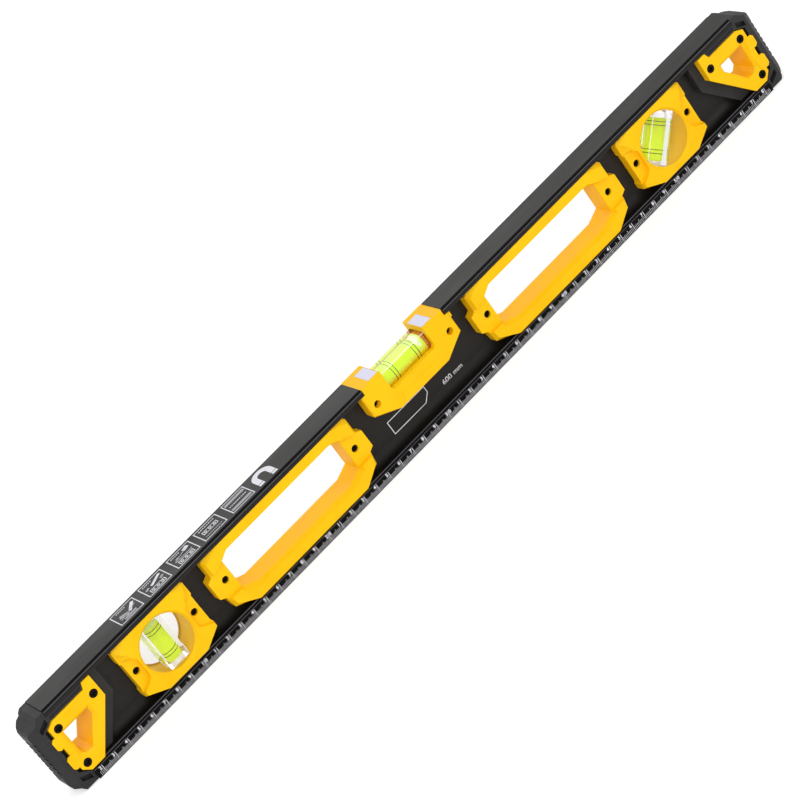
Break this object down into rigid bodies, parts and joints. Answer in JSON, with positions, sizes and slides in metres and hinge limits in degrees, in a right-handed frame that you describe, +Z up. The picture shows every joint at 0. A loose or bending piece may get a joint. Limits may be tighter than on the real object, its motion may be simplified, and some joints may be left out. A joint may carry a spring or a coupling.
{
  "type": "spirit level",
  "caption": "Magnetic spirit level: I-section metal beam with a millimetre rule, plumb, slanted and top-read vials, hand openings and soft end caps.",
  "frame": {"origin": "middle of the underside of the base, on the lower measuring face", "axes": "+X along the beam to the right of the ruled front face, +Y to the back, +Z up to the upper measuring face; the ruled front face looks to -Y"},
  "size_m": [0.6, 0.024, 0.0545],
  "materials": {
    "anodised_beam": "brushed and black anodised",
    "soft_rubber": "matt",
    "yellow_plastic": "satin",
    "clear_lens": "clear",
    "clear_acrylic": "clear",
    "vial_liquid": "clear",
    "vial_plug": "clear",
    "white_tile": "matt",
    "black_screw": "blackened",
    "magnet": "nickel plated"
  },
  "bodies": {
    "root": {"beam": "anodised_beam", "centre_frame_back": "yellow_plastic", "centre_frame_front": "yellow_plastic", "centre_frame_screws": "black_screw", "centre_tile_left": "white_tile", "centre_tile_right": "white_tile", "end_cap_left": "soft_rubber", "end_cap_right": "soft_rubber", "end_insert_left_back": "yellow_plastic", "end_insert_left_front": "yellow_plastic", "end_insert_right_back": "yellow_plastic", "end_insert_right_front": "yellow_plastic", "end_insert_screws": "black_screw", "handle_left_back": "yellow_plastic", "handle_left_front": "yellow_plastic", "handle_right_back": "yellow_plastic", "handle_right_front": "yellow_plastic", "handle_screws": "black_screw", "lens_left_back": "clear_lens", "lens_left_front": "clear_lens", "lens_right_back": "clear_lens", "lens_right_front": "clear_lens", "magnets": "magnet", "vial_centre_block": "clear_acrylic", "vial_centre_liquid": "vial_liquid", "vial_centre_plug": "vial_plug", "vial_frame_left_back": "yellow_plastic", "vial_frame_left_front": "yellow_plastic", "vial_frame_right_back": "yellow_plastic", "vial_frame_right_front": "yellow_plastic", "vial_frame_screws": "black_screw", "vial_plumb_block": "clear_acrylic", "vial_plumb_liquid": "vial_liquid", "vial_plumb_plug": "vial_plug", "vial_slant_block": "clear_acrylic", "vial_slant_liquid": "vial_liquid", "vial_slant_plug": "vial_plug"}
  },
  "joints": []
}
